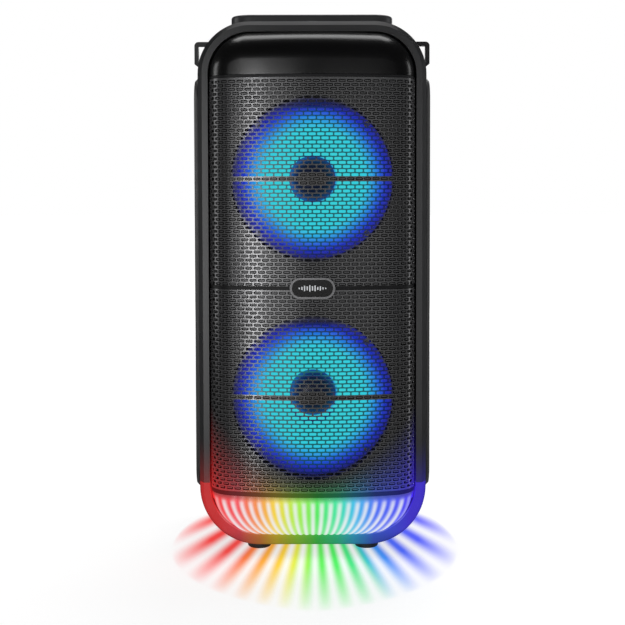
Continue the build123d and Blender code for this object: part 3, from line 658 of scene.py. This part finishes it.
def slotted_sheet(rows_up, rows_down):
    """A flat sheet of staggered slots, with its origin at the driver's middle."""
    columns_aside = 16
    sheet = slot_cell()
    edit_mesh(sheet)
    bpy.ops.mesh.select_all(action="SELECT")
    stagger = (SLOT_PITCH / 2, ROW_PITCH, 0)
    bpy.ops.mesh.duplicate_move(TRANSFORM_OT_translate={"value": stagger})
    bpy.ops.object.mode_set(mode="OBJECT")
    repeat(sheet, 2 * columns_aside + 1, (SLOT_PITCH, 0, 0), "along")
    repeat(sheet, (rows_up + rows_down) // 2 + 2, (0, 2 * ROW_PITCH, 0), "up")
    apply_all(sheet)
    first_row = rows_down + rows_down % 2
    start_fresh()
    edit_mesh(sheet)
    bpy.ops.mesh.select_all(action="SELECT")
    start = (SLOT_PITCH / 2 - columns_aside * SLOT_PITCH, -first_row * ROW_PITCH, 0)
    bpy.ops.transform.translate(value=start)
    bpy.ops.mesh.remove_doubles(threshold=0.00002)
    bpy.ops.object.mode_set(mode="OBJECT")
    return sheet


def trim_sheet(sheet, rows_up, rows_down, room_up, room_down):
    """Cuts the sheet to its panel, and stretches its edge rows to the panel's edges."""
    run_end = 136 * MM
    top = (rows_up + 0.5) * ROW_PITCH
    last_row = -(rows_down + 0.5) * ROW_PITCH
    bottom = max(last_row, room_down)
    cuts = (
        ((0, top, 0), (0, 1, 0)),
        ((0, bottom, 0), (0, -1, 0)),
        ((run_end, 0, 0), (1, 0, 0)),
        ((-run_end, 0, 0), (-1, 0, 0)),
    )
    start_fresh()
    edit_mesh(sheet)
    for point, normal in cuts:
        bpy.ops.mesh.select_all(action="SELECT")
        bpy.ops.mesh.bisect(plane_co=point, plane_no=normal, clear_outer=True)
    pick(sheet, "verts", lambda p: p.y > top - 1e-5)
    bpy.ops.transform.translate(value=(0, room_up - top, 0))
    pick(sheet, "verts", lambda p: p.y < bottom + 1e-5)
    bpy.ops.transform.translate(value=(0, min(0.0, room_down - last_row), 0))
    bpy.ops.object.mode_set(mode="OBJECT")


def slotted_skin(name):
    """The perforated skin of one grille: a slotted sheet, trimmed, bent onto the crown and thickened."""
    low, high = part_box(f"grille_mesh_{name}")
    middle = DRIVERS[name]
    rows_up = int((high.z - middle) / ROW_PITCH - 0.5)
    rows_down = int((middle - low.z) / ROW_PITCH)
    sheet = slotted_sheet(rows_up, rows_down)
    trim_sheet(sheet, rows_up, rows_down, high.z - middle, low.z - middle)
    cut_badge_place(sheet, middle)
    for vertex in sheet.data.vertices:
        x, y = crown_point(vertex.co.x)
        vertex.co = (x, y, middle + vertex.co.y)
    tidy_normals(sheet)
    face_front(sheet)
    give_wall(sheet, SKIN)
    finish_piece(sheet, f"slotted_grille_{name}", FINISHES["grille"], smooth=30)
    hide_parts(f"grille_mesh_{name}")


def give_wall(piece, thickness):
    """Thickens an open sheet behind its face."""
    wall = piece.modifiers.new("wall", "SOLIDIFY")
    wall.thickness = thickness
    wall.offset = -1
    apply_all(piece)


def face_front(piece):
    """Turns an open sheet's faces to look forward."""
    start_fresh()
    shape = edit_mesh(piece)
    ahead = sum(face.normal.y * face.calc_area() for face in shape.faces)
    if ahead > 0:
        bpy.ops.mesh.select_all(action="SELECT")
        bpy.ops.mesh.flip_normals()
    bpy.ops.object.mode_set(mode="OBJECT")


def cut_badge_place(sheet, middle):
    """Takes the web out where the badge sits."""
    low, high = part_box("badge_bezel")
    rise, half = (high.z - low.z) / 2, high.x
    centre = (low.z + high.z) / 2 - middle
    start_fresh()
    edit_mesh(sheet)
    inner = half - rise - 0.4 * MM

    def under_badge(p):
        over = max(abs(p.x) - inner, 0.0)
        return math.hypot(over, p.y - centre) < rise - 0.6 * MM

    pick(sheet, "faces", under_badge)
    bpy.ops.mesh.delete(type="FACE")
    bpy.ops.object.mode_set(mode="OBJECT")


# ------------------------------------------------------------------ fluted lens
def fluted_lens():
    """The lens that wraps the base: a grid laid over the crowned front, with flutes that fan together."""
    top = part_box("light_lens")[1].z
    track = ball_track()
    columns, rows, wrap = FLUTES * 10, 26, 5
    start_fresh()
    bpy.ops.mesh.primitive_grid_add(x_subdivisions=columns, y_subdivisions=rows + wrap, size=2.0)
    lens = bpy.context.object
    crest = []
    sites = []
    outline = base_outline()
    for vertex in lens.data.vertices:
        across = vertex.co.x
        down = (1.0 - vertex.co.y) / 2 * (rows + wrap) / rows
        start = Vector((across * (SHELL_HALF - 0.01 * MM), top))
        end = outline(across)
        share = 1.0 - (1.0 - min(down, 1.0)) ** 2
        x = start.x + (end.x - start.x) * share ** 2
        z = start.y + (end.y - start.y) * share
        back = max(down - 1.0, 0.0) * rows / wrap
        sites.append(Vector((x, lens_depth(x, z, share, back, track), z)))
        wave = abs(math.sin(math.pi * (across + 1) / 2 * FLUTES))
        ends = min(1.0, down * 12) * min(1.0, (1 - abs(across)) * 14)
        crest.append(wave * ends)
    for vertex, site in zip(lens.data.vertices, sites):
        vertex.co = site
    face_front(lens)
    normals = [vertex.normal.copy() for vertex in lens.data.vertices]
    for vertex, normal, height in zip(lens.data.vertices, normals, crest):
        vertex.co += normal * (height - 1.0) * FLUTE_DEPTH
    ridge = lens.data.attributes.new("crest", "FLOAT", "POINT")
    ridge.data.foreach_set("value", crest)
    give_wall(lens, LENS_WALL)
    finish_piece(lens, "fluted_lens", FINISHES["lens"], smooth=60)
    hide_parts("light_lens")


def lens_depth(x, z, share, back, track):
    """The lens's y at a place in front view, or on its floor, which runs back from the bottom edge."""
    if back == 0 and share <= 0.9999:
        return crown_depth(x, z, track)
    half_floor = 78 * MM
    edge = CROWN_AXIS_Y - math.sqrt((CROWN_RADIUS - EDGE_BALL) ** 2 - min(abs(x), half_floor) ** 2)
    return edge + back * (SHELL_BACK - 4 * MM - edge)


def base_outline():
    """The front's outline below the lens's top edge, as a place for a share from -1 to 1."""
    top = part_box("light_lens")[1].z
    radius, half = CORNER_BOTTOM, SHELL_HALF
    low = SHELL_BOTTOM
    start_angle = math.asin(min(1.0, (low + radius - top) / radius))
    arc = radius * (math.pi / 2 - start_angle)
    flat = half - radius
    whole = arc + flat

    def place(share):
        run = (0.55 * abs(share) + 0.45 * abs(share) ** 14) * whole
        side = math.copysign(1, share)
        if run <= flat:
            return Vector((side * run, low))
        angle = (run - flat) / radius
        return Vector((side * (flat + radius * math.sin(angle)), low + radius - radius * math.cos(angle)))

    return place


# ------------------------------------------------------------------ badge, symbols and labels
def plate_shape(points, height, place, turn):
    """A thin closed plate from an outline, stood at its place."""
    start_fresh()
    mesh = bpy.data.meshes.new("plate")
    mesh.from_pydata([(x, y, 0.0) for x, y in points], [], [list(range(len(points)))])
    plate = bpy.data.objects.new("plate", mesh)
    SCENE.collection.objects.link(plate)
    edit_mesh(plate)
    bpy.ops.mesh.select_all(action="SELECT")
    bpy.ops.mesh.extrude_region_move(TRANSFORM_OT_translate={"value": (0, 0, height)})
    bpy.ops.mesh.select_all(action="SELECT")
    bpy.ops.mesh.normals_make_consistent(inside=False)
    bpy.ops.object.mode_set(mode="OBJECT")
    plate.matrix_world = Matrix.Translation(place) @ turn
    return plate


def disc_points(radius, count=28, centre=(0.0, 0.0), start=0.0, end=360.0):
    step = (end - start) / (count if end - start >= 360 else count - 1)
    angles = [math.radians(start + step * i) for i in range(count)]
    return [(centre[0] + radius * math.cos(a), centre[1] + radius * math.sin(a)) for a in angles]


def arc_points(radius, width, start, end, count=20):
    """A band along an arc."""
    outer = disc_points(radius + width / 2, count, start=start, end=end)
    inner = disc_points(radius - width / 2, count, start=start, end=end)
    return outer + inner[::-1]


def bar_points(x0, y0, x1, y1):
    return [(x0, y0), (x1, y0), (x1, y1), (x0, y1)]


def ray_points(angle):
    """One tapered ray of a sun."""
    corners = ((-0.12, 1.7), (-0.08, 2.8), (0.08, 2.8), (0.12, 1.7))
    return [(math.cos(angle + turn) * reach, math.sin(angle + turn) * reach) for turn, reach in corners]


SYMBOLS = {
    "power": [arc_points(2.2, 0.5, 125, 415), bar_points(-0.27, 0.9, 0.27, 3.0)],
    "mode": [arc_points(2.3, 0.5, -50, 80), arc_points(2.3, 0.5, 130, 260), disc_points(0.8)],
    "previous": [
        [(0.1, 0), (2.5, 1.6), (2.5, -1.6)],
        [(-2.1, 0), (0.1, 1.6), (0.1, -1.6)],
        bar_points(-2.7, -1.6, -2.2, 1.6),
    ],
    "play": [
        [(-2.6, 1.8), (0.2, 0), (-2.6, -1.8)],
        bar_points(0.8, -1.7, 1.4, 1.7),
        bar_points(2.1, -1.7, 2.7, 1.7),
    ],
    "next": [
        [(-0.1, 0), (-2.5, -1.6), (-2.5, 1.6)],
        [(2.1, 0), (-0.1, -1.6), (-0.1, 1.6)],
        bar_points(2.2, -1.6, 2.7, 1.6),
    ],
    "light": [disc_points(1.1)] + [ray_points(math.radians(45 * step)) for step in range(8)],
}


def symbol(name, outlines, place, turn, body, size=1.0):
    """A printed symbol made of thin plates."""
    thickness = 0.12 * MM
    plates = []
    for outline in outlines:
        points = [(x * size * MM, y * size * MM) for x, y in outline]
        plates.append(plate_shape(points, thickness, place, turn))
    finish_piece(join(plates), name, FINISHES["print"], body, smooth=0)


def button_symbols():
    for name, outlines in SYMBOLS.items():
        middle = node_middle(f"button_{name}")
        place = (middle.x, middle.y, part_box(f"button_{name}")[1].z - PRINT_BITE)
        symbol(f"symbol_{name}", outlines, place, Matrix.Identity(4), f"{name}_button")


REAR_SYMBOLS = {
    "mic_jack": [disc_points(1.3, centre=(0, 1.6)), bar_points(-0.9, -2.6, 0.9, 1.0)],
    "aux_jack": [
        arc_points(2.4, 0.5, 0, 180),
        bar_points(-2.9, -1.6, -1.8, 0.4),
        bar_points(1.8, -1.6, 2.9, 0.4),
    ],
    "usb_socket": [bar_points(-2.9, -1.1, 1.0, 1.1), bar_points(1.3, -0.7, 2.7, 0.7)],
    "charging_socket": [[(0.6, 2.8), (-1.6, -0.3), (-0.2, -0.3), (-0.6, -2.8), (1.6, 0.5), (0.2, 0.5)]],
    "power_rocker": [arc_points(2.2, 0.5, 125, 415), bar_points(-0.27, 0.9, 0.27, 3.0)],
}


def rear_symbols():
    """Symbols printed above the sockets, seen from the back."""
    turn = Matrix.Rotation(math.pi, 4, "Z") @ Matrix.Rotation(math.pi / 2, 4, "X")
    floor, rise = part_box("rear_panel")[0].y + 3.0 * MM, 16 * MM
    for node, outlines in REAR_SYMBOLS.items():
        middle = node_middle(node)
        place = (middle.x, floor - PRINT_BITE, middle.z + rise)
        symbol(f"mark_{node}", outlines, place, turn, "cabinet", 1.2)


def badge_mark():
    """The badge's generic mark: a row of sound bars."""
    turn = Matrix.Rotation(math.pi / 2, 4, "X")
    place = (0.0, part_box("badge_plate")[0].y + PRINT_BITE, node_middle("badge_plate").z)
    pitch, half_width = 2.7, 0.65
    outlines = []
    for step, rise in enumerate((1.6, 3.2, 5.6, 3.8, 6.6, 4.4, 5.8, 3.0, 4.4, 2.4, 1.4)):
        x = (step - 5) * pitch
        outlines.append(bar_points(x - half_width, -rise / 2, x + half_width, rise / 2))
    symbol("badge_mark", outlines, place, turn, "cabinet", 1.0)


# ------------------------------------------------------------------ assigning finishes to the solids
def make_finishes():
    made = {
        "grille": grille_paint(),
        "lens": lens_glow(),
        "print": grained_plastic("white_print", (0.62, 0.64, 0.66), 0.45, 3000.0, 0.00001),
        "cabinet": grained_plastic("grained_black_housing", (0.011, 0.0112, 0.0125), 0.42),
        "frame": frame_paint(),
        "lower_frame": lower_frame_paint(),
        "visor": gloss_plastic("satin_black_visor", (0.002, 0.002, 0.0022), 0.20, 0.0),
        "trim": trim_paint("gloss_trim", 0.0),
        "trim_lit": trim_paint("lit_trim", 0.12),
        "bezel": worked_metal("satin_badge_rim", (0.2, 0.2, 0.205), 0.4),
        "gloss": gloss_plastic("gloss_black", (0.008, 0.008, 0.009), 0.08),
        "handle": grained_plastic("satin_handle", (0.03, 0.031, 0.033), 0.38, 2600.0, 0.00003),
        "tray": grained_plastic("matte_tray", (0.014, 0.014, 0.015), 0.6),
        "knob": worked_metal("turned_knob", (0.2, 0.205, 0.215), 0.28),
        "button": gloss_plastic("button_plastic", (0.022, 0.022, 0.024), 0.2, 0.3),
        "rubber": soft_rubber("matte_rubber"),
        "rail": soft_rubber("rail_rubber", (0.014, 0.014, 0.015), 0.45),
        "screw": worked_metal("black_zinc_screw", (0.12, 0.12, 0.125), 0.35),
        "plated": worked_metal("plated_steel", (0.6, 0.6, 0.62), 0.25),
        "socket": gloss_plastic("socket_black", (0.012, 0.012, 0.013), 0.18, 0.2),
        "port": grained_plastic("satin_port", (0.02, 0.0205, 0.022), 0.36),
        "board": gloss_plastic("green_solder_mask", (0.01, 0.09, 0.03), 0.3, 0.3),
        "led": gloss_plastic("led_white", (0.8, 0.78, 0.65), 0.2, 0.3),
        "white": gloss_plastic("white_reflector", (0.75, 0.75, 0.76), 0.3, 0.2),
        "magnet": worked_metal("ferrite_and_zinc", (0.1, 0.1, 0.11), 0.5),
        "battery": gloss_plastic("battery_film", (0.02, 0.08, 0.25), 0.22, 0.4),
    }
    for name, z in DRIVERS.items():
        made[f"carrier_{name}"] = slot_floor_with_painted_shade(f"slot_floor_with_painted_shade_{name}", z)
        made[f"cone_{name}"] = driver_glow(f"lit_cone_{name}", z, CONE_STOPS, 0.95, (0.02, 0.02, 0.03), 0.5)
        cap_base = (0.008, 0.008, 0.012)
        made[f"cap_{name}"] = driver_glow(f"lit_cap_{name}", z, CAP_STOPS, 0.35, cap_base, 0.35)
    return made


LIT_PARTS = ("cone", "surround", "light_ring", "basket")
NODE_FINISHES = {
    "cabinet": ["rear_cabinet", "front_baffle", "strap_loop_left", "strap_loop_right", "rear_panel"],
    "frame": ["front_frame"],
    "lower_frame": ["lower_frame"],
    "visor": ["top_visor", "badge_plate"],
    "trim": ["trim_strip_top", "trim_strip_middle"],
    "trim_lit": ["trim_strip_bottom"],
    "bezel": ["badge_bezel"],
    "gloss": ["control_panel"],
    "handle": ["handle_grip"],
    "tray": ["handle_tray"],
    "knob": ["volume_knob"],
    "button": [f"button_{name}" for name in SYMBOLS],
    "rubber": ["feet"],
    "rail": ["side_rail_left", "side_rail_right"],
    "screw": ["driver_screws", "baffle_screws", "rail_screws", "rear_screws"],
    "plated": ["usb_socket"],
    "carrier_upper": ["grille_carrier_upper"],
    "carrier_lower": ["grille_carrier_lower"],
    "socket": ["mic_jack", "aux_jack", "charging_socket", "power_rocker"],
    "port": ["bass_port_upper", "bass_port_lower"],
    "board": ["control_board", "light_board", "amplifier_board"],
    "led": ["light_leds"],
    "white": ["light_reflector"],
    "magnet": ["driver_upper_magnet", "driver_lower_magnet"],
    "battery": ["battery_pack"],
    "cone_upper": [f"driver_upper_{part}" for part in LIT_PARTS],
    "cone_lower": [f"driver_lower_{part}" for part in LIT_PARTS],
    "cap_upper": ["driver_upper_cap"],
    "cap_lower": ["driver_lower_cap"],
}


def dress_solids():
    """Gives each solid its finish and softly shaded faces."""
    for key, names in NODE_FINISHES.items():
        for name in names:
            solid = NODES[name]
            for slot in solid.material_slots:
                slot.material = FINISHES[key].material
            weld = solid.modifiers.new("weld", "WELD")
            weld.merge_threshold = 0.002 * MM
            split = solid.modifiers.new("crisp edges", "EDGE_SPLIT")
            split.split_angle = math.radians(28)
            for face in solid.data.polygons:
                face.use_smooth = True


# ------------------------------------------------------------------ camera, floor and light
def place_camera():
    data = bpy.data.cameras.new("camera")
    data.sensor_width = 36
    data.lens = 71.83
    data.shift_x = 0.0004
    data.shift_y = -0.1096
    data.clip_start, data.clip_end = 0.01, 50
    camera = bpy.data.objects.new("camera", data)
    camera.location = (0.0, -1.392, 0.398)
    camera.rotation_euler = (math.radians(87.3), math.radians(0.12), 0.0)
    SCENE.collection.objects.link(camera)
    SCENE.camera = camera


def soft_light(name, place, aim, size, power):
    data = bpy.data.lights.new(name, "AREA")
    data.shape = "RECTANGLE"
    data.size, data.size_y = size
    data.energy = power
    lamp = bpy.data.objects.new(name, data)
    lamp.location = place
    lamp.rotation_euler = (Vector(aim) - Vector(place)).to_track_quat("-Z", "Y").to_euler()
    SCENE.collection.objects.link(lamp)
    return lamp


def floor_finish():
    """Pale studio floor with the coloured beams that the base light throws on it."""
    finish = Finish("pale_floor", Roughness=0.8)
    _, x, y, _ = finish.place()
    ahead = (BEAM_ROOT_Y - y).at_least(0.01)
    slant = (x - 2 * MM) / ahead
    reach = (x * x + ahead * ahead) ** 0.5
    turn = (slant * 4.24).arctan()
    hue = finish.ramp(turn * 0.40 + 0.48, BEAM_STOPS)
    stripes = ((turn * BEAM_RATE - math.pi / 2).sine() * 0.5 + 0.5) ** 0.85
    end = BEAM_REACH - (slant.size() ** 1.5) * 0.53
    fade = ((end - reach) / (140 * MM - slant.size() * 0.13)).at_least(0.0).at_most(1.0)
    start = reach.step(150 * MM, 200 * MM)
    within = 1.0 - turn.size().step(1.21, 1.26)
    deep = reach.step(170 * MM, 300 * MM) * 0.2 + 0.8
    beam = stripes * 0.93 + 0.06
    amount = beam * start * (fade ** 0.6) * within * deep
    colour = finish.mix(amount.at_most(0.97), (1.0, 1.0, 1.0), hue)
    away = (x * x + y * y) ** 0.5
    dim = (1.0 - away.step(0.6, 2.6)) * 0.22
    finish.drive(Base_Color=finish.mix(0.5, colour, BLACK))
    return finish.glow(finish.mix(dim, colour, BLACK), 1.0)


def lay_floor():
    start_fresh()
    bpy.ops.mesh.primitive_plane_add(size=30.0)
    floor = bpy.context.object
    floor.name = "floor"
    floor.data.materials.append(floor_finish().material)
    floor.visible_glossy = False


def set_world():
    """White surroundings that light evenly, but are dim where they would show in gloss."""
    world = bpy.data.worlds.new("studio")
    SCENE.world = world
    world.use_nodes = True
    tree = world.node_tree
    back = tree.nodes["Background"]
    back.inputs["Color"].default_value = (1, 1, 1, 1)
    path = tree.nodes.new("ShaderNodeLightPath")
    gloss = tree.nodes.new("ShaderNodeMix")
    gloss.inputs[2].default_value = 0.16
    gloss.inputs[3].default_value = 0.02
    tree.links.new(path.outputs["Is Glossy Ray"], gloss.inputs[0])
    seen = tree.nodes.new("ShaderNodeMix")
    seen.inputs[3].default_value = 1.0
    tree.links.new(path.outputs["Is Camera Ray"], seen.inputs[0])
    tree.links.new(gloss.outputs[0], seen.inputs[2])
    tree.links.new(seen.outputs[0], back.inputs["Strength"])


def light_studio():
    centre, front = (0.0, -0.05, 0.3), (0, -0.1, 0.27)
    for only_in_gloss in (
        soft_light("left_strip", (-0.86, -1.91, 0.18), front, (0.13, 0.94), 11.5),
        soft_light("left_falloff", (-0.52, -2.04, 0.18), front, (0.56, 0.94), 4.8),
        soft_light("right_wash", (0.60, -2.04, 0.18), front, (0.96, 0.94), 2.2),
        soft_light("right_rim", (1.6, 0.35, 0.4), (0.1, -0.1, 0.3), (0.25, 1.4), 2.8),
        soft_light("left_rim", (-1.6, 0.15, 0.55), (-0.1, -0.1, 0.4), (0.5, 1.0), 4),
    ):
        only_in_gloss.visible_diffuse = False
    key = soft_light("front_key", (0.7, -2.1, 0.9), centre, (0.9, 1.2), 9)
    key.visible_glossy = False
    soft_light("top_bank", (0.0, 0.42, 1.9), (0, -0.05, 0.55), (1.6, 0.6), 10)
    soft_light("back_fill", (0.6, 2.4, 1.0), centre, (1.2, 1.4), 16)


# ------------------------------------------------------------------ the whole scene
place_camera()
FINISHES = make_finishes()
set_world()
light_studio()
lay_floor()
dress_solids()
slotted_skin("upper")
slotted_skin("lower")
fluted_lens()
badge_mark()
button_symbols()
rear_symbols()
SCENE.view_settings.view_transform = "Standard"

start_fresh()
bpy.context.view_layer.update()
